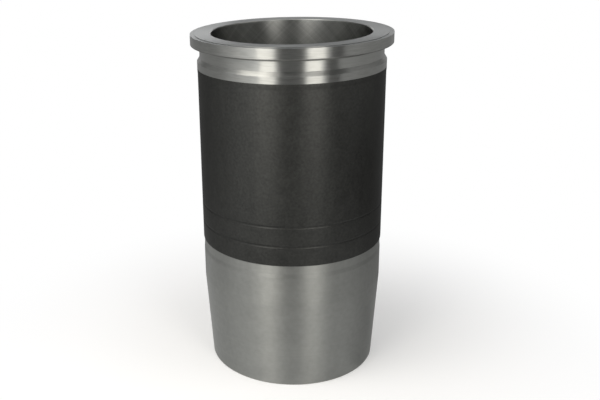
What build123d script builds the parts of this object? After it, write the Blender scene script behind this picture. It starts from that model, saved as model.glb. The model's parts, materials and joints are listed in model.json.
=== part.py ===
import os

from build123d import *

# Wet cylinder liner of a heavy diesel engine, turned from one centrifugally cast iron tube.
# All sizes are millimetres. It stands upright on its lower end, with its axis on Z and Z = 0 there.

# Bore and wall
bore_diameter = 128.0
wall_thickness = 11.3  # behind the coated waist, the longest stretch of the outside

# Heights, listed from the top face down; the coated waist takes what they leave
total_length = 280.0
flange_height = 8.6
neck_height = 9.7
neck_cone_height = 3.3
upper_band_height = 7.0
upper_band_lead_height = 2.8
relief_height = 10.6
lower_land_height = 24.5
taper_height = 74.5

# Radial steps of the outside, each measured from the coated waist
flange_overhang = 5.2
neck_depth = 1.9
upper_band_step = 0.2
lower_land_step = 0.3

# Relief turned between the coated waist and the lower land, with a lead cone down to the land
relief_depth = 0.3  # below the lower land's radius
relief_cone_height = 3.0

# The skirt under the lower land narrows by this much on the radius
taper_reduction = 4.9

# Shallow ledge turned round the rim of the top face
ledge_width = 3.5
ledge_drop = 0.3

# Shallow round-bottomed rings in the lower part of the coated waist
groove_count = 2
groove_width = 2.4
groove_depth = 0.25
first_groove_height = 15.9  # from the waist's lower edge to the groove's middle
groove_spacing = 16.2

# Edge work
bore_mouth_chamfer = 0.6
bore_tail_chamfer = 1.2
flange_edge_chamfer = 0.4
foot_chamfer = 0.6
seat_fillet = 0.8  # stress relief in the corner under the flange
relief_fillet = 0.4  # nose radius of the turning tool, in the corner under the waist

# Radii that follow
bore_radius = bore_diameter / 2
waist_radius = bore_radius + wall_thickness
flange_radius = waist_radius + flange_overhang
ledge_radius = flange_radius - ledge_width
neck_radius = waist_radius - neck_depth
upper_band_radius = waist_radius + upper_band_step
lower_land_radius = waist_radius - lower_land_step
relief_radius = lower_land_radius - relief_depth
foot_radius = lower_land_radius - taper_reduction

# Heights above the lower end that follow
ledge_z = total_length - ledge_drop
seat_z = total_length - flange_height
neck_z = seat_z - neck_height
upper_band_top_z = neck_z - neck_cone_height
upper_band_base_z = upper_band_top_z - upper_band_height
waist_top_z = upper_band_base_z - upper_band_lead_height
land_top_z = taper_height + lower_land_height
relief_cone_top_z = land_top_z + relief_cone_height
waist_base_z = land_top_z + relief_height


def skirt_and_land():
    """Lower end, tapered skirt, ground lower land and relief, up to the step at the coated waist."""
    Polyline(
        (bore_radius, 0),
        (foot_radius, 0),
        (lower_land_radius, taper_height),
        (lower_land_radius, land_top_z),
        (relief_radius, relief_cone_top_z),
        (relief_radius, waist_base_z),
        (waist_radius, waist_base_z),
    )


def coated_waist():
    """Long straight waist, with its shallow rings as arcs."""
    start_z = waist_base_z
    for ring in range(groove_count):
        middle_z = waist_base_z + first_groove_height + ring * groove_spacing
        low_z = middle_z - groove_width / 2
        high_z = middle_z + groove_width / 2
        Line((waist_radius, start_z), (waist_radius, low_z))
        ThreePointArc(
            (waist_radius, low_z),
            (waist_radius - groove_depth, middle_z),
            (waist_radius, high_z),
        )
        start_z = high_z
    Line((waist_radius, start_z), (waist_radius, waist_top_z))


def collar():
    """Lead, upper locating band, cone, neck and flange, up to the stepped top face."""
    Polyline(
        (waist_radius, waist_top_z),
        (upper_band_radius, upper_band_base_z),
        (upper_band_radius, upper_band_top_z),
        (neck_radius, neck_z),
        (neck_radius, seat_z),
        (flange_radius, seat_z),
        (flange_radius, ledge_z),
        (ledge_radius, ledge_z),
        (ledge_radius, total_length),
        (bore_radius, total_length),
    )


def corner(section, radius, height):
    """The section's corner at this radius and height."""
    return section.vertices().sort_by_distance((radius, height))[0]


def break_edges(section):
    """Fillets and chamfers, cut in the section before it is turned."""
    fillet(corner(section, neck_radius, seat_z), seat_fillet)
    fillet(corner(section, relief_radius, waist_base_z), relief_fillet)
    chamfer(corner(section, bore_radius, total_length), bore_mouth_chamfer)
    chamfer(corner(section, bore_radius, 0), bore_tail_chamfer)
    chamfer(corner(section, foot_radius, 0), foot_chamfer)
    chamfer(corner(section, flange_radius, seat_z), flange_edge_chamfer)


with BuildPart() as liner:
    with BuildSketch(Plane.XZ) as wall:
        with BuildLine():
            skirt_and_land()
            coated_waist()
            collar()
            Line((bore_radius, total_length), (bore_radius, 0))
        make_face()
        break_edges(wall)
    revolve(axis=Axis.Z)

os.makedirs("parts", exist_ok=True)
export_step(liner.part, "parts/cylinder_liner.step")
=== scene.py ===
# %% [markdown]
# # A cylinder liner and the five finishes that machines left on it
# A wet cylinder liner is one iron tube, cast by spinning and then turned, ground and honed.
# This notebook loads its exact solid as a fixed frame, turns a finer skin from the same section
# and gives each stretch of it the finish of the machine that made it.

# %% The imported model, loaded as a fixed frame
import json
import math

import bpy
from mathutils import Matrix, Vector

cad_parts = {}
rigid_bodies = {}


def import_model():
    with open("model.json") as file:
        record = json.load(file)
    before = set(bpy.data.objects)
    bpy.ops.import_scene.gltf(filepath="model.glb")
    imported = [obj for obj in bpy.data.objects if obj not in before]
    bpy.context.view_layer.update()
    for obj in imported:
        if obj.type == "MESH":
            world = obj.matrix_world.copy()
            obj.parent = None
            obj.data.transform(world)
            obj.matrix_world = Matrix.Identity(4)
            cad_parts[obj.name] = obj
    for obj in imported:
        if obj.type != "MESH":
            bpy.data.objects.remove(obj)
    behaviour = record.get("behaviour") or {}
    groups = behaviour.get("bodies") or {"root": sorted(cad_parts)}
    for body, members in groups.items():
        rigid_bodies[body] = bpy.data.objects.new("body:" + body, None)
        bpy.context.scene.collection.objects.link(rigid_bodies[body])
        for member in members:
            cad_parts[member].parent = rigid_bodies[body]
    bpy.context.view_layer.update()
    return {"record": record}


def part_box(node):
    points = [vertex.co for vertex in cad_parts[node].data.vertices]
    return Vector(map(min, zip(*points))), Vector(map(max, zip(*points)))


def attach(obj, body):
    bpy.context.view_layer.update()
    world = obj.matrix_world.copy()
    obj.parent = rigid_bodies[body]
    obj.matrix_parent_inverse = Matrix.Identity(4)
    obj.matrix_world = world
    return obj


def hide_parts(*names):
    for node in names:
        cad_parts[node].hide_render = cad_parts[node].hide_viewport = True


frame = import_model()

# %% [markdown]
# ## The section's sizes
# Whoever turns a liner works from a drawing of half its section. The fits are on the packed
# record already, as mounts: bore, locating band, lower land and flange rim. They are read from
# it here, so that the skin can't drift away from the solid. Only the steps between them are
# named below, in metres.

# %% Radii and heights that the record gives
mm = 0.001
mounts = {mount["name"]: mount for mount in frame["record"]["mounts"]}


def round_mount(name):
    """Radius, lower end and upper end of a round mount."""
    mount = mounts[name]
    half_length = mount["dims"]["length_mm"] * mm / 2
    middle = mount["pos_m"][2]
    return mount["dims"]["r_mm"] * mm, middle - half_length, middle + half_length


bore_radius = mounts["bore"]["dims"]["r_mm"] * mm
band_radius, band_base, band_top = round_mount("upper_locating_band")
land_radius, land_base, land_top = round_mount("lower_land")
flange_radius, rim_base, ledge_height = round_mount("flange_rim")
seat_height = mounts["flange_seat"]["pos_m"][2]
top_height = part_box("cylinder_liner")[1].z
print("bore", bore_radius, "band", band_radius, "land", land_radius, "top", round(top_height, 4))

# %% Steps between them, which no mount gives
band_step = 0.2 * mm  # the ground band stands this much proud of the waist
band_lead = 2.8 * mm
relief_depth = 0.3 * mm
relief_cone = 3.0 * mm
relief_height = 10.6 * mm
taper = 4.9 * mm
neck_depth = 1.9 * mm
neck_cone = 3.3 * mm
ledge_width = 3.5 * mm
first_groove = 15.9 * mm
groove_spacing = 16.2 * mm
groove_width = 2.4 * mm
groove_depth = 0.25 * mm
mouth_chamfer = 0.6 * mm
tail_chamfer = 1.2 * mm
foot_chamfer = 0.6 * mm
seat_fillet = 0.8 * mm
relief_fillet = 0.4 * mm
coating_lap = 1.6 * mm  # the dark coating reaches this far up the ground band

# %% Radii and heights that follow
waist_radius = band_radius - band_step
waist_top = band_base - band_lead
waist_base = land_top + relief_height
relief_radius = land_radius - relief_depth
relief_cone_top = land_top + relief_cone
foot_radius = land_radius - taper
neck_radius = waist_radius - neck_depth
neck_base = band_top + neck_cone
ledge_radius = flange_radius - ledge_width
coating_top = band_base + coating_lap
groove_heights = [waist_base + first_groove, waist_base + first_groove + groove_spacing]
print("waist", round(waist_base, 4), "to", round(waist_top, 4), "neck radius", round(neck_radius, 4))

# %% [markdown]
# ## The section
# The outline goes round the wall's section once: lower end, skirt, land, relief, waist with its
# two rings, band, cone, neck, flange, top face and back down the bore. A round stretch is worked
# out from its centre, and its inner points are marked as smooth; every other corner is crisp.
# Points could be read off a finer mesh of the solid, but then nobody could change a size here.

# %% Round stretches of the outline
arc_pieces = 8


def arc(centre, radius, first_turn, last_turn):
    """Points (radius, height, crisp) along part of a circle, from one angle to the other."""
    points = []
    for step in range(arc_pieces + 1):
        turn = first_turn + (last_turn - first_turn) * step / arc_pieces
        place = (centre[0] + radius * math.cos(turn), centre[1] + radius * math.sin(turn))
        points.append((*place, step in (0, arc_pieces)))
    return points


def fillet_under(wall_radius, ceiling, radius):
    """The rounded corner where a wall runs up into an overhang."""
    return arc((wall_radius + radius, ceiling - radius), radius, math.pi, math.pi / 2)


def groove(height):
    """A shallow ring in the waist, from its lower lip to its upper one."""
    radius = (groove_width ** 2 / 4 + groove_depth ** 2) / (2 * groove_depth)
    half_turn = math.asin(groove_width / 2 / radius)
    centre = (waist_radius - groove_depth + radius, height)
    return arc(centre, radius, math.pi + half_turn, math.pi - half_turn)


# %% The whole outline, from the lower end round to the bore
def corners(*places):
    """Crisp corners at these radii and heights."""
    return [(radius, height, True) for radius, height in places]


taper_slope = (land_radius - foot_radius) / land_base
chamfer_rise = foot_chamfer / math.hypot(1, taper_slope)
foot_edge = (foot_radius + taper_slope * chamfer_rise, chamfer_rise)
rim_chamfer = rim_base - seat_height

outline = corners(
    (bore_radius + tail_chamfer, 0),
    (foot_radius - foot_chamfer, 0),
    foot_edge,
    (land_radius, land_base),
    (land_radius, land_top),
    (relief_radius, relief_cone_top),
)
outline += fillet_under(relief_radius, waist_base, relief_fillet)
outline += corners((waist_radius, waist_base))
for height in groove_heights:
    outline += groove(height)
outline += corners(
    (waist_radius, waist_top),
    (band_radius, band_base),
    (band_radius, coating_top),
    (band_radius, band_top),
    (neck_radius, neck_base),
)
outline += fillet_under(neck_radius, seat_height, seat_fillet)
outline += corners(
    (flange_radius - rim_chamfer, seat_height),
    (flange_radius, rim_base),
    (flange_radius, ledge_height),
    (ledge_radius, ledge_height),
    (ledge_radius, top_height),
    (bore_radius + mouth_chamfer, top_height),
    (bore_radius, top_height - mouth_chamfer),
    (bore_radius, tail_chamfer),
)
print("section points", len(outline))

# %% [markdown]
# ## Sums on sockets
# A node tree is easier to read as sums. `Wire` wraps an output socket, and each operator on it
# adds the Math node that does it. `Graph.add` adds any other node from its type, its settings
# and the values or links of its inputs. Both serve geometry trees and shader trees alike.

# %% Wire and Graph
class Wire:
    """An output socket that can be used in sums."""

    def __init__(self, graph, socket):
        self.graph = graph
        self.socket = socket

    def math(self, operation, *others):
        return self.graph.math(operation, self, *others)

    def split(self):
        """The three parts of a vector."""
        return [self.graph.add("ShaderNodeSeparateXYZ", None, {"Vector": self}, axis) for axis in "XYZ"]

    def __add__(self, other):
        return self.math("ADD", other)

    def __sub__(self, other):
        return self.math("SUBTRACT", other)

    def __rsub__(self, other):
        return self.graph.math("SUBTRACT", other, self)

    def __mul__(self, other):
        return self.math("MULTIPLY", other)

    def __truediv__(self, other):
        return self.math("DIVIDE", other)

    def __gt__(self, other):
        return self.math("GREATER_THAN", other)

    def __lt__(self, other):
        return self.math("LESS_THAN", other)

    __radd__ = __add__
    __rmul__ = __mul__


class Graph:
    """A node tree, with one method that adds every kind of node."""

    def __init__(self, tree):
        self.tree = tree

    def add(self, kind, settings=None, inputs=None, output=0):
        """Adds a node, sets it up, feeds its inputs and returns one of its outputs."""
        node = self.tree.nodes.new(kind)
        for name, value in (settings or {}).items():
            setattr(node, name, value)
        for key, value in (inputs or {}).items():
            self.feed(node, key, value)
        return Wire(self, node.outputs[output])

    def math(self, operation, *values):
        return self.add("ShaderNodeMath", {"operation": operation}, dict(enumerate(values)))

    def feed(self, node, key, value):
        """Links a wire to a node's input, or sets the input to a plain value."""
        if isinstance(value, Wire):
            self.tree.links.new(value.socket, node.inputs[key])
        else:
            node.inputs[key].default_value = value


# %% [markdown]
# ## The lathe
# On the real machine the tool follows the section while the tube turns. The same rule makes the
# skin here: a grid has one row for each point of the section and one column for each step of
# the turn, and Geometry Nodes put every grid point at its row's radius and height and its
# column's angle. A Screw modifier would also spin the section, but here the steps, the crisp
# corners and the finishes stay together in one tree with named inputs. Where two faces meet at
# a crisp corner the edge is sharp, and elsewhere the surface is smooth.

# %% The lathe's tree and its named inputs
lathe = bpy.data.node_groups.new("Lathe", "GeometryNodeTree")
lathe.is_modifier = True
lathe.interface.new_socket("Geometry", in_out="INPUT", socket_type="NodeSocketGeometry")
lathe.interface.new_socket("Geometry", in_out="OUTPUT", socket_type="NodeSocketGeometry")
finish_names = ["Turned skirt", "Ground collar", "Dark coating", "Honed bore", "Flat faces"]
size_names = ["Bore radius", "Coating base", "Coating top", "Crisp angle"]
lathe.interface.new_socket("Steps", in_out="INPUT", socket_type="NodeSocketInt")
for size_name in size_names:
    lathe.interface.new_socket(size_name, in_out="INPUT", socket_type="NodeSocketFloat")
for finish_name in finish_names:
    lathe.interface.new_socket(finish_name, in_out="INPUT", socket_type="NodeSocketMaterial")

graph = Graph(lathe)
given = lathe.nodes.new("NodeGroupInput")
entry = {socket.name: Wire(graph, socket) for socket in given.outputs if socket.name}
section = entry["Geometry"]

# %% Every grid point goes to its row's radius and height and its column's angle
section_input = {"Geometry": section}
point_count = graph.add("GeometryNodeAttributeDomainSize", {"component": "MESH"}, section_input)
columns = entry["Steps"] + 1
grid_size = {"Vertices X": point_count + 1, "Vertices Y": columns}
grid = graph.add("GeometryNodeMeshGrid", None, grid_size)
index = graph.add("GeometryNodeInputIndex")
row = (index / columns).math("FLOOR")
column = index - row * columns
turn = column / entry["Steps"] * math.tau
section_index = row.math("MODULO", point_count)


def at_section(data_type, value):
    """What the section's point in this row says."""
    inputs = {"Geometry": section, "Value": value, "Index": section_index}
    return graph.add("GeometryNodeSampleIndex", {"data_type": data_type}, inputs)


position = graph.add("GeometryNodeInputPosition")
radius, depth, height = at_section("FLOAT_VECTOR", position).split()
across = {"X": radius * turn.math("COSINE"), "Y": radius * turn.math("SINE"), "Z": height}
turned_place = graph.add("ShaderNodeCombineXYZ", None, across)
skin = graph.add("GeometryNodeSetPosition", None, {"Geometry": grid, "Position": turned_place})

# %% The first and last rows and columns are joined, and crisp corners become sharp edges
crisp = graph.add("GeometryNodeInputNamedAttribute", {"data_type": "BOOLEAN"}, {"Name": "crisp"})
crisp_row = {"Geometry": skin, "Name": "crisp", "Value": at_section("BOOLEAN", crisp)}
skin = graph.add("GeometryNodeStoreNamedAttribute", {"data_type": "BOOLEAN"}, crisp_row)
join_distance = 0.001 * mm
skin = graph.add("GeometryNodeMergeByDistance", None, {"Geometry": skin, "Distance": join_distance})
all_faces = {"Geometry": skin, "Shade Smooth": True}
skin = graph.add("GeometryNodeSetShadeSmooth", {"domain": "FACE"}, all_faces)
sharp = (graph.add("GeometryNodeInputMeshEdgeAngle") > entry["Crisp angle"]) * crisp
sharp_edges = {"Geometry": skin, "Selection": sharp, "Shade Smooth": False}
skin = graph.add("GeometryNodeSetShadeSmooth", {"domain": "EDGE"}, sharp_edges)
skin = graph.add("GeometryNodeRemoveAttribute", None, {"Geometry": skin, "Name": "crisp"})
skin = graph.add("GeometryNodeRealizeInstances", None, {"Geometry": skin})

# %% Each face takes its finish from where it is
face_x, face_y, face_height = position.split()
face_radius = (face_x * face_x + face_y * face_y).math("SQRT")
level = graph.add("GeometryNodeInputNormal").split()[2].math("ABSOLUTE")
hair = 0.05 * mm
level_enough = 0.99
on_waist = (face_height > entry["Coating base"] + hair) * (face_height < entry["Coating top"])
rules = {
    "Turned skirt": face_height > -hair,
    "Ground collar": face_height > entry["Coating top"],
    "Dark coating": on_waist,
    "Flat faces": level > level_enough,
    "Honed bore": face_radius < entry["Bore radius"] + hair,
}
for finish_name, rule in rules.items():
    chosen = {"Geometry": skin, "Selection": rule, "Material": entry[finish_name]}
    skin = graph.add("GeometryNodeSetMaterial", None, chosen)
result = lathe.nodes.new("NodeGroupOutput")
graph.feed(result, "Geometry", skin)
print("lathe nodes", len(lathe.nodes))

# %% [markdown]
# ## What the finishes share
# Every finish on the liner runs round one axis, so the materials read Object coordinates, which
# are the liner's own frame in metres. A noise that is stretched far round the axis and squeezed
# along it gives the fine rings that a lathe leaves, and it closes on itself without a seam,
# which a pattern on an unrolled map wouldn't.

# %% A finish, its coordinates and its noises
def new_finish(name, **constants):
    """A material, its graph and its Principled BSDF, whose unvarying inputs are set here."""
    material = bpy.data.materials.new(name)
    material.use_nodes = True
    principled = material.node_tree.nodes["Principled BSDF"]
    for socket_name, value in constants.items():
        principled.inputs[socket_name.replace("_", " ")].default_value = value
    return material, Graph(material.node_tree), principled


def object_place(shader):
    """This point of the liner, in the liner's own frame."""
    return shader.add("ShaderNodeTexCoord", None, None, "Object")


def vector(shader, x, y, z):
    return shader.add("ShaderNodeCombineXYZ", None, {"X": x, "Y": y, "Z": z})


def noise(shader, place, detail=2.0, coarseness=0.5):
    """A noise between 0 and 1, whose scale is already in its place vector."""
    inputs = {"Vector": place, "Scale": 1.0, "Detail": detail, "Roughness": coarseness}
    return shader.add("ShaderNodeTexNoise", {"noise_dimensions": "3D"}, inputs)


def clouds(shader, size, height_size=None, detail=3.0):
    """Soft patches of this size, and of another size along the axis if it is given."""
    x, y, z = object_place(shader).split()
    return noise(shader, vector(shader, x / size, y / size, z / (height_size or size)), detail)


def rings(shader, along, period, round_size=120 * mm, detail=3.0):
    """Fine rings round the axis, which change along this coordinate."""
    x, y, z = object_place(shader).split()
    return noise(shader, vector(shader, x / round_size, y / round_size, along / period), detail)


def radius_of(place):
    """How far a place is from the axis."""
    x, y, z = place.split()
    return (x * x + y * y).math("SQRT")


def tint(shader, amount, dark, light):
    """A colour from dark to light."""
    inputs = {0: amount, 6: (*dark, 1), 7: (*light, 1)}
    return shader.add("ShaderNodeMix", {"data_type": "RGBA"}, inputs, 2)


def stretched(tone, contrast):
    """The same tone with more contrast about its middle, because noises keep near a half."""
    return (tone - 0.5) * contrast + 0.5


def near(shader, along, middle, reach):
    """1 close to this middle, falling softly to 0 at this reach on both sides."""
    distance = (along - middle).math("ABSOLUTE")
    inputs = {"Value": distance, "From Min": reach, "From Max": reach / 2}
    return shader.add("ShaderNodeMapRange", {"interpolation_type": "SMOOTHSTEP"}, inputs)


def bump(shader, height, depth, strength=1.0):
    """A normal from a height between 0 and 1 that stands for this depth."""
    inputs = {"Height": height, "Distance": depth, "Strength": strength}
    return shader.add("ShaderNodeBump", None, inputs)


# %% [markdown]
# ## Turned skirt
# The land and the skirt under the dark coating are turned, lightly ground and then handled, so
# the iron is satin, with faint clouds and spots where hands and oil have been. The fine rings
# spread a lamp's reflection up and down but hardly sideways, which is why the photograph shows
# upright stripes of light. Real rings would take millions of faces. Anisotropic spreads the
# reflection in the same way, turned by a quarter so that the spread runs along the axis. The
# short cone over the land carries painted shade: its colour is made darker there.

# %% Turned skirt
across_the_rings = 0.25  # a quarter turn of the spread, so that it runs along the axis
ring_depth = 0.004 * mm  # of the tool's and the wheel's marks


def turned_skirt():
    material, shader, principled = new_finish(
        "turned_skirt", Metallic=1.0, Anisotropic=0.84, Anisotropic_Rotation=across_the_rings
    )
    height = object_place(shader).split()[2]
    smudges = clouds(shader, 38 * mm, 20 * mm, detail=4.0)
    spots = clouds(shader, 4 * mm, detail=1.0)
    lines = rings(shader, height, 0.9 * mm)
    tone = stretched(smudges * 0.5 + spots * 0.35 + lines * 0.15, contrast=2.1)
    # Painted shade: the colour is darkened on the short relief cone over the land.
    relief_cone_shade = near(shader, height, land_top + relief_cone / 2, reach=2.6 * mm)
    tone = tone + 0.08 - relief_cone_shade * 0.25
    colour = tint(shader, tone, dark=(0.245, 0.249, 0.236), light=(0.315, 0.320, 0.302))
    shader.feed(principled, "Base Color", colour)
    shader.feed(principled, "Roughness", 0.425 + smudges * 0.12)
    shader.feed(principled, "Normal", bump(shader, lines, ring_depth))
    return material


# %% [markdown]
# ## Ground collar
# The flange's rim, the neck, the cone and the locating band are ground finer, so the stripes of
# light are brighter and their edges are harder. The wheel's rings come in two widths here: hair
# lines, and broader ones that end part of the way round and fray the edges of the stripes. The
# neck is the brightest. Its corner under the flange is rougher and carries painted shade, a darker
# colour where the flange overhangs it.

# %% Ground collar
def ground_collar():
    material, shader, principled = new_finish(
        "ground_collar", Metallic=1.0, Anisotropic=0.95, Anisotropic_Rotation=across_the_rings
    )
    height = object_place(shader).split()[2]
    lines = rings(shader, height, 0.7 * mm)
    broad_lines = rings(shader, height, 1.3 * mm, round_size=9 * mm)
    tone = stretched(lines * 0.35 + broad_lines * 0.65, contrast=2.4)
    on_neck = (height > neck_base) * (height < seat_height)
    # Painted shade: the colour is darkened in the corner under the flange, which is also made rougher.
    shade_under_flange = near(shader, height, seat_height - seat_fillet, reach=1.7 * mm)
    tone = tone + (on_neck - shade_under_flange) * 0.45
    colour = tint(shader, tone, dark=(0.246, 0.248, 0.236), light=(0.325, 0.328, 0.311))
    shader.feed(principled, "Base Color", colour)
    shader.feed(principled, "Roughness", 0.27 + broad_lines * 0.08 + shade_under_flange * 0.4)
    shader.feed(principled, "Normal", bump(shader, lines, ring_depth))
    return material


# %% [markdown]
# ## Dark coating
# The waist carries a thin dark coat, rubbed on over turned iron. It has a soft metallic shine
# like pencil lead, so it is metal for the most part, with a tint that keeps it dark where it is
# seen at a flat angle. Plain grey paint would turn pale at the sides of the tube. Three sizes of
# cloud break it up: a grain, a mottle and faint upright runs. Shade is painted into the rings,
# which are darker in colour.

# %% Dark coating
def dark_coating():
    material, shader, principled = new_finish(
        "dark_coating",
        Metallic=0.88,
        Specular_Tint=(0.5, 0.5, 0.5, 1),
        Anisotropic=0.2,
        Anisotropic_Rotation=across_the_rings,
    )
    grain = clouds(shader, 2 * mm, detail=2.0)
    mottle = clouds(shader, 7 * mm, 10 * mm)
    runs = clouds(shader, 22 * mm, 160 * mm, detail=2.0)
    tone = stretched(grain * 0.55 + mottle * 0.27 + runs * 0.18, contrast=2.6)
    height = object_place(shader).split()[2]
    # Painted shade: the colour is darkened along the two rings.
    for groove_height in groove_heights:
        tone = tone - near(shader, height, groove_height, reach=1.8 * mm) * 0.25
    colour = tint(shader, tone, dark=(0.0355, 0.0360, 0.0343), light=(0.0555, 0.0563, 0.0530))
    shader.feed(principled, "Base Color", colour)
    shader.feed(principled, "Roughness", 0.38 + mottle * 0.1)
    shader.feed(principled, "Normal", bump(shader, grain + mottle, 0.03 * mm, strength=0.6))
    return material


# %% [markdown]
# ## Honed bore
# Abrasive stones turn and stroke at once in the bore, so they leave two sets of fine lines that
# cross at a steady angle. Coordinates twisted about the axis by an angle that grows with height
# follow one such helix, and a noise on them, drawn out along the axis, gives its lines. The
# twist the other way gives the second set. The specular tint holds back the shine at flat
# angles, which leaves the sides of the bore as dark as they look in a real one.

# %% One set of hone lines
hone_angle = math.radians(42)  # of each set of lines to the level
helix_twist = 1 / math.tan(hone_angle) / bore_radius
hone_line_length = 160 * mm


def hone_lines(shader, way, period):
    """One set of lines, which climbs to the right for way 1 and to the left for way -1."""
    place = object_place(shader)
    turn = place.split()[2] * (way * helix_twist)
    inputs = {"Vector": place, "Angle": turn}
    twisted = shader.add("ShaderNodeVectorRotate", {"rotation_type": "Z_AXIS"}, inputs)
    x, y, z = twisted.split()
    return noise(shader, vector(shader, x / period, y / period, z / hone_line_length), 3.0)


# %% Honed bore
def honed_bore():
    material, shader, principled = new_finish(
        "honed_bore",
        Metallic=1.0,
        Specular_Tint=(0.1, 0.1, 0.1, 1),
        Anisotropic=0.53,
        Anisotropic_Rotation=across_the_rings,
    )
    fine = hone_lines(shader, 1, 0.9 * mm) + hone_lines(shader, -1, 0.9 * mm)
    broad = hone_lines(shader, 1, 4 * mm) + hone_lines(shader, -1, 4 * mm)
    tone = stretched(fine * 0.2 + broad * 0.3, contrast=2.4)
    colour = tint(shader, tone, dark=(0.260, 0.265, 0.256), light=(0.530, 0.539, 0.521))
    shader.feed(principled, "Base Color", colour)
    shader.feed(principled, "Roughness", 0.275 + tone * 0.03)
    shader.feed(principled, "Normal", bump(shader, broad, 0.01 * mm, strength=0.3))
    return material


# %% [markdown]
# ## Flat faces
# The top face, its lower ledge, the underside of the flange and the lower end are faced on the
# lathe: the rings there change with the radius and not with the height. The ledge round the rim
# is cut by itself and is a little duller.

# %% Flat faces
def faced_end():
    material, shader, principled = new_finish(
        "faced_end", Metallic=1.0, Anisotropic=0.5, Anisotropic_Rotation=across_the_rings
    )
    radius = radius_of(object_place(shader))
    lines = rings(shader, radius, 0.8 * mm)
    patches = clouds(shader, 33 * mm)
    tone = lines * 0.6 + patches * 0.4 - (radius > ledge_radius) * 0.25
    colour = tint(shader, tone, dark=(0.252, 0.262, 0.262), light=(0.345, 0.356, 0.354))
    shader.feed(principled, "Base Color", colour)
    shader.feed(principled, "Roughness", 0.33 + patches * 0.1)
    shader.feed(principled, "Normal", bump(shader, lines, ring_depth))
    return material


# %% [markdown]
# ## Turning the liner
# The section goes in as a ring of bare points with edges, and the modifier's result comes out
# as a plain mesh. The liner stands for the CAD node, which stays in place for collision.

# %% The section as a mesh
scene_objects = bpy.context.scene.collection.objects
section_mesh = bpy.data.meshes.new("liner_section")
section_points = [(radius, 0, height) for radius, height, crisp in outline]
section_edges = [(number, (number + 1) % len(outline)) for number in range(len(outline))]
section_mesh.from_pydata(section_points, section_edges, [])
crisp_marks = section_mesh.attributes.new("crisp", "BOOLEAN", "POINT")
for mark, (radius, height, crisp) in zip(crisp_marks.data, outline):
    mark.value = crisp
section_object = bpy.data.objects.new("liner_section", section_mesh)
scene_objects.link(section_object)

# %% The turned skin
turn_steps = 256
liner_inputs = {
    "Steps": turn_steps,
    "Bore radius": bore_radius,
    "Coating base": waist_base,
    "Coating top": coating_top,
    "Crisp angle": math.radians(2.5),
    "Turned skirt": turned_skirt(),
    "Ground collar": ground_collar(),
    "Dark coating": dark_coating(),
    "Honed bore": honed_bore(),
    "Flat faces": faced_end(),
}
modifier = section_object.modifiers.new("Lathe", "NODES")
modifier.node_group = lathe
for item in lathe.interface.items_tree:
    if item.in_out == "INPUT" and item.name in liner_inputs:
        modifier[item.identifier] = liner_inputs[item.name]

depsgraph = bpy.context.evaluated_depsgraph_get()
liner_mesh = bpy.data.meshes.new_from_object(section_object.evaluated_get(depsgraph))
section_object.modifiers.remove(modifier)
bpy.data.objects.remove(section_object)
liner_mesh.name = "liner_skin"
liner_mesh.materials.pop(index=0)  # the grid's own empty slot, which no face uses
finishes = [material.name for material in liner_mesh.materials]
finish_faces = [0] * len(finishes)
for face in liner_mesh.polygons:
    finish_faces[face.material_index] += 1
print("faces", dict(zip(finishes, finish_faces)))

# %% The skin rides on the liner's body
liner = bpy.data.objects.new("liner_skin", liner_mesh)
scene_objects.link(liner)
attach(liner, "root")
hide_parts("cylinder_liner")

# %% [markdown]
# ## The floor and the white round it
# The liner stands on a pale floor that runs into white. Near the liner the floor is a plain matt
# surface, which keeps the shadow, and further out it becomes the same white as the world. Light
# Path tells the two jobs of the white apart: what the camera and the reflections see is white,
# and what lights the liner is only a grey of a plain level.

# %% White for what is seen, and a plain level for what is lit
def seen_share(shader):
    """1 for rays from the camera, a reflection or glass, and 0 for rays that only light things."""
    camera, glossy, clear = (
        shader.add("ShaderNodeLightPath", None, None, name)
        for name in ("Is Camera Ray", "Is Glossy Ray", "Is Transmission Ray")
    )
    return camera.math("MAXIMUM", glossy).math("MAXIMUM", clear)


ambient_level = 0.31
world = bpy.data.worlds.new("white_surroundings")
bpy.context.scene.world = world
world.use_nodes = True
sky = Graph(world.node_tree)
background = world.node_tree.nodes["Background"]
sky.feed(background, "Color", (1, 1, 1, 1))
sky.feed(background, "Strength", ambient_level + seen_share(sky) * (1 - ambient_level))
print("world nodes", len(world.node_tree.nodes))

# %% The floor's mesh
floor_half = 6.0
floor_corners = [(-floor_half, -floor_half, 0), (floor_half, -floor_half, 0)]
floor_corners += [(floor_half, floor_half, 0), (-floor_half, floor_half, 0)]
floor_mesh = bpy.data.meshes.new("floor")
floor_mesh.from_pydata(floor_corners, [], [(0, 1, 2, 3)])
floor = bpy.data.objects.new("floor", floor_mesh)
scene_objects.link(floor)
print("floor", 2 * floor_half, "m across")

# %% The floor's paint, matt close by and white far out
floor_grey = 0.8
shadow_reach = (0.085, 0.32)  # radii where the floor begins to turn white, and where it is white
pale_floor, floor_shader, floor_paint = new_finish(
    "pale_floor", Roughness=0.9, Specular_IOR_Level=0.0, Base_Color=(*[floor_grey] * 3, 1)
)
seen = seen_share(floor_shader)
distance = radius_of(object_place(floor_shader))
reach = {"Value": distance, "From Min": shadow_reach[0], "From Max": shadow_reach[1]}
far = floor_shader.add("ShaderNodeMapRange", {"interpolation_type": "SMOOTHSTEP"}, reach)
white = floor_shader.add("ShaderNodeEmission", None, {"Strength": 1.0})
top_up = floor_shader.add("ShaderNodeEmission", None, {"Strength": seen * (1 - floor_grey)})
matt = Wire(floor_shader, floor_paint.outputs[0])
close_by = floor_shader.add("ShaderNodeAddShader", None, {0: matt, 1: top_up})
mixed = floor_shader.add("ShaderNodeMixShader", None, {0: far * seen, 1: close_by, 2: white})
floor_shader.feed(pale_floor.node_tree.nodes["Material Output"], "Surface", mixed)
floor_mesh.materials.append(pale_floor)
print("shadow keeps to", shadow_reach[1], "m from the axis")

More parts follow.
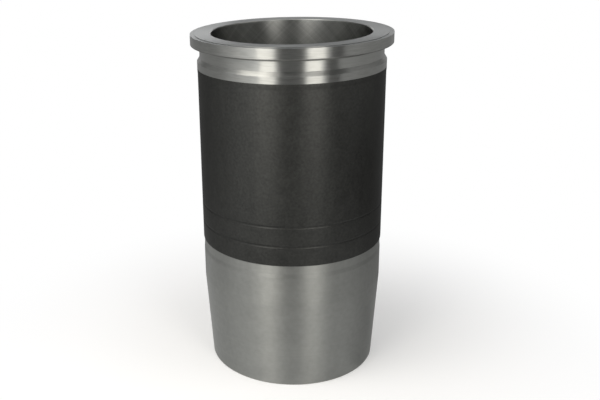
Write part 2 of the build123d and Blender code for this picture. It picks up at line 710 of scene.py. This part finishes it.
# %% [markdown]
# ## Cards
# Metal looks like metal only where it mirrors something darker than the white round it. So a
# photographer stands black, grey and pale cards round it, just out of view. Here they are curved
# panels that only reflections can see. Each has a tone at either end, kept as a number on its
# points, so one material serves them all. Stripes painted on the metal would take fewer lines,
# but they would stay where they are when the view moves. The tones and edges were found by trial,
# by changing them until the render's stripes matched the photograph's. They are one light that
# gives this look, and not a record of how the real studio stood.

# %% One curved card
card_step = 3  # degrees that one flat piece of a curved card spans
card_points = []
card_faces = []
card_tones = []


def add_card(first, last, near_edge, far_edge, first_tone, last_tone):
    """A card between two directions and two edges, each edge a radius and a height.

    Directions are in degrees: 0 is the camera's side and 90 is the right.
    """
    pieces = max(1, round((last - first) / card_step))
    for piece in range(pieces + 1):
        share = piece / pieces
        turn = math.radians(first + (last - first) * share)
        corner = len(card_points)
        for radius, height in (near_edge, far_edge):
            card_points.append((radius * math.sin(turn), -radius * math.cos(turn), height))
        card_tones.extend([first_tone + (last_tone - first_tone) * share] * 2)
        if piece < pieces:
            card_faces.append((corner, corner + 2, corner + 3, corner + 1))


def add_cards(settings):
    """Several cards, each from what stands under its name."""
    for setting in settings.values():
        add_card(*setting)
    print("cards", len(settings), "pieces so far", len(card_faces))


# %% [markdown]
# Seen from the camera, the liner's surfaces mirror different heights of the upright cards. The
# dark waist mirrors what is under the coating line, and the collar what is over it. The bore
# looks out over the rim line, the flat top face sees the back between the two bounce lines, and
# the cone looks higher still.

# %% The edges of the upright cards
card_distance = 0.36
floor_line, low_line, coating_line, strip_line, rim_line, bounce_base, bounce_top = (
    (card_distance, height) for height in (0, 0.08, 0.15, 0.25, 0.29, 0.31, 0.37)
)
cone_line, tall_line, top_line = ((card_distance, height) for height in (0.42, 0.75, 1.0))

# %% Cards under the camera and on the right
add_cards({
    "dark, under the camera": (-14, 14, floor_line, tall_line, 0.20, 0.20),
    "grey, low front right": (14, 38, floor_line, low_line, 0.40, 0.40),
    "dark, right": (38, 50, floor_line, cone_line, 0.18, 0.18),
    "dark, low right": (50, 100, floor_line, coating_line, 0.06, 0.06),
    "grey, low far right": (100, 130, floor_line, coating_line, 0.10, 0.42),
    "soft edge of the grey one": (50, 56, coating_line, rim_line, 0.18, 0.90),
    "grey, right": (56, 130, coating_line, rim_line, 0.90, 0.30),
    "dark, over the grey one": (50, 130, rim_line, bounce_top, 0.24, 0.24),
    "dark, beside the cone": (50, 65, bounce_top, cone_line, 0.14, 0.14),
    "grey, beside the cone": (65, 150, bounce_top, cone_line, 0.62, 0.30),
    "dark, high right": (42, 71, cone_line, tall_line, 0.14, 0.14),
    "grey, high right": (71, 150, cone_line, tall_line, 0.68, 0.42),
})

# %% Cards on the left
add_cards({
    "grey, far left": (-130, -85, floor_line, rim_line, 0.36, 0.52),
    "grey, left": (-85, -66, floor_line, rim_line, 0.52, 0.90),
    "pale, left": (-66, -50, floor_line, rim_line, 0.90, 1.20),
    "pale, low left": (-50, -36, floor_line, coating_line, 0.80, 1.05),
    "white, left": (-50, -36, coating_line, cone_line, 1.05, 1.85),
    "dark, over the grey ones": (-130, -58, rim_line, bounce_top, 0.25, 0.25),
    "soft edge of the dark one": (-58, -50, rim_line, cone_line, 0.30, 0.90),
    "grey, high far left": (-130, -85, bounce_top, tall_line, 0.42, 0.66),
    "grey, beside the cone": (-85, -58, bounce_top, cone_line, 0.66, 1.15),
    "pale, high left": (-85, -66, cone_line, tall_line, 1.15, 1.60),
})

# %% Cards at the back, with two pale strips for whoever looks from there
add_cards({
    "grey, back right": (130, 159, floor_line, strip_line, 0.40, 0.20),
    "strip, back right": (159, 171, floor_line, strip_line, 2.40, 2.40),
    "dark, back": (171, 189, floor_line, strip_line, 0.16, 0.16),
    "strip, back left": (189, 201, floor_line, strip_line, 2.40, 2.40),
    "grey, back left": (201, 230, floor_line, strip_line, 0.24, 0.38),
    "dark, over the strips": (130, 230, strip_line, bounce_base, 0.32, 0.38),
    "dark, right of the bounce cards": (130, 145, bounce_base, bounce_top, 0.25, 0.30),
    "bounce, far back right": (145, 168, bounce_base, bounce_top, 1.10, 1.10),
    "bounce, back right": (168, 180, bounce_base, bounce_top, 1.05, 1.05),
    "bounce, back left": (180, 192, bounce_base, bounce_top, 1.15, 1.15),
    "bounce, far back left": (192, 213, bounce_base, bounce_top, 1.75, 1.75),
    "dark, left of the bounce cards": (213, 230, bounce_base, bounce_top, 0.40, 0.35),
    "dark, high back": (150, 230, bounce_top, top_line, 0.16, 0.16),
})

# %% [markdown]
# Land, skirt and foot mirror the floor, each in a ring of its own: the foot just beside it, the
# skirt further out and the land furthest. These cards lie flat on the floor and are named after
# what mirrors them. At the back nothing is seen from the camera, so one ring does for all three.
# The last few lie flat overhead, for the chamfer at the mouth of the bore.

# %% Cards on the floor and overhead
floor_start, floor_near, floor_middle, floor_end = (
    (radius, 0.5 * mm) for radius in (0.071, 0.10, 0.17, card_distance)
)
ceiling_middle, ceiling_inner, ceiling_outer, ceiling_end = (
    (radius, 1.0) for radius in (0, 0.04, 0.32, 0.6)
)
add_cards({
    "land, far left": (-130, -50, floor_middle, floor_end, 0.95, 0.62),
    "land, left": (-50, -14, floor_middle, floor_end, 0.50, 0.30),
    "land, front": (-14, 14, floor_middle, floor_end, 0.63, 0.63),
    "land, strip right": (14, 26, floor_middle, floor_end, 0.90, 0.90),
    "land, right": (26, 60, floor_middle, floor_end, 0.70, 1.00),
    "land, far right": (60, 90, floor_middle, floor_end, 1.00, 0.80),
    "land, back right": (90, 130, floor_middle, floor_end, 0.72, 0.28),
    "skirt, left and front": (-130, 14, floor_near, floor_middle, 0.82, 0.82),
    "skirt, right": (14, 62, floor_near, floor_middle, 0.90, 0.84),
    "skirt, far right": (62, 88, floor_near, floor_middle, 0.76, 0.40),
    "skirt, back right": (88, 130, floor_near, floor_middle, 0.34, 0.60),
    "foot, left and front": (-130, 14, floor_start, floor_near, 0.76, 0.76),
    "foot, right": (14, 48, floor_start, floor_near, 0.72, 0.80),
    "foot, far right": (48, 60, floor_start, floor_near, 0.80, 0.46),
    "foot, back right": (60, 130, floor_start, floor_near, 0.46, 0.46),
    "back right": (130, 159, floor_start, floor_end, 0.25, 0.34),
    "strip, back right": (159, 171, floor_start, floor_end, 1.30, 1.30),
    "back": (171, 189, floor_start, floor_end, 0.34, 0.34),
    "strip, back left": (189, 201, floor_start, floor_end, 1.30, 1.30),
    "back left": (201, 230, floor_start, floor_end, 0.40, 0.66),
    "overhead, round the edge": (-180, 180, ceiling_outer, ceiling_end, 1.15, 1.15),
    "overhead, right": (-50, 230, ceiling_middle, ceiling_outer, 1.05, 1.05),
    "overhead, lit patch on the left": (-130, -50, ceiling_inner, ceiling_outer, 3.10, 3.10),
})

# %% One mesh for all cards, which only reflections see
cards_mesh = bpy.data.meshes.new("cards")
cards_mesh.from_pydata(card_points, [], card_faces)
tones = cards_mesh.attributes.new("tone", "FLOAT", "POINT")
tones.data.foreach_set("value", card_tones)
cards = bpy.data.objects.new("cards", cards_mesh)
scene_objects.link(cards)
cards.visible_camera = False
cards.visible_diffuse = False
cards.visible_shadow = False
cards.visible_transmission = False
print("cards in one mesh, with", len(card_faces), "pieces")

# %% The paper that glows with each card's tone
card_paper = bpy.data.materials.new("card_paper")
card_paper.use_nodes = True
card_shader = Graph(card_paper.node_tree)
tone = card_shader.add("ShaderNodeAttribute", {"attribute_name": "tone"}, None, "Fac")
card_light = card_shader.add("ShaderNodeEmission", None, {"Strength": tone})
card_shader.feed(card_paper.node_tree.nodes["Material Output"], "Surface", card_light)
cards_mesh.materials.append(card_paper)
print("brightest card", max(card_tones))

# %% [markdown]
# ## Lamps
# Two upright strips stand left and right of the camera and give the pair of bright stripes on
# the metal, and a box high on the left lights the cone. Two broad boxes at the sides and one
# overhead fill the rest, unseen in reflections. A lamp's power is worked out from how bright its
# face looks, so that its size can change and its reflection stays as bright.

# %% One lamp
aim = Vector((0, 0, 0.14))
warm_white = (1.0, 0.96, 0.90)
plain_white = (1.0, 1.0, 1.0)


def area_lamp(name, direction, distance, height, face, brightness, colour=warm_white):
    """A lamp that faces the liner. Direction is as for the cards, face is (width, height)."""
    data = bpy.data.lights.new(name, "AREA")
    data.color = colour
    data.shape = "RECTANGLE"
    data.size, data.size_y = face
    data.energy = brightness * math.pi * data.size * data.size_y
    lamp = bpy.data.objects.new(name, data)
    turn = math.radians(direction)
    lamp.location = (distance * math.sin(turn), -distance * math.cos(turn), height)
    lamp.rotation_euler = (aim - lamp.location).to_track_quat("-Z", "Y").to_euler()
    lamp.visible_camera = False
    scene_objects.link(lamp)
    print(name, round(data.energy, 2), "W")
    return lamp


# %% Lamps that the metal mirrors
area_lamp("strip_left", -27, 0.60, 0.34, (0.20, 0.58), 3.10)
area_lamp("strip_right", 26, 0.60, 0.335, (0.20, 0.45), 3.60)
area_lamp("box_high_left", -53, 0.62, 0.79, (0.52, 0.42), 3.60)

# %% Lamps that only fill
fills = [
    area_lamp("box_left", -75, 0.90, 0.50, (0.70, 0.90), 1.0, plain_white),
    area_lamp("box_right", 75, 1.00, 0.50, (0.70, 0.90), 0.9, plain_white),
    area_lamp("box_above", 0, 0.05, 1.30, (0.90, 0.90), 1.5, plain_white),
]
for fill in fills:
    fill.visible_glossy = False

# %% [markdown]
# ## Camera
# The camera was worked out from the liner's own rings in the photograph: where it stands, how
# far it looks down, and a slight turn and roll. The photograph is a crop whose middle isn't on
# the lens axis, so a small sideways shift is part of the framing.

# %% Camera
camera_distance = 676.7 * mm
camera_height = 383.5 * mm
camera_tilt = 0.3479  # angles in radians
camera_turn = 0.0769
camera_roll = -0.028
sensor_width = 36.0  # this and the focal length in millimetres
focal_length = 50.74
sideways_shift = 0.1162
camera_data = bpy.data.cameras.new("camera")
camera_data.sensor_width = sensor_width
camera_data.lens = focal_length
camera_data.shift_x = sideways_shift
camera = bpy.data.objects.new("camera", camera_data)
camera.matrix_world = (
    Matrix.Translation((0, -camera_distance, camera_height))
    @ Matrix.Rotation(camera_turn, 4, "Z")
    @ Matrix.Rotation(math.pi / 2 - camera_tilt, 4, "X")
    @ Matrix.Rotation(camera_roll, 4, "Z")
)
scene_objects.link(camera)
bpy.context.scene.camera = camera
bpy.context.scene.view_settings.view_transform = "Standard"
print("camera looks down", round(math.degrees(camera_tilt), 1), "degrees")
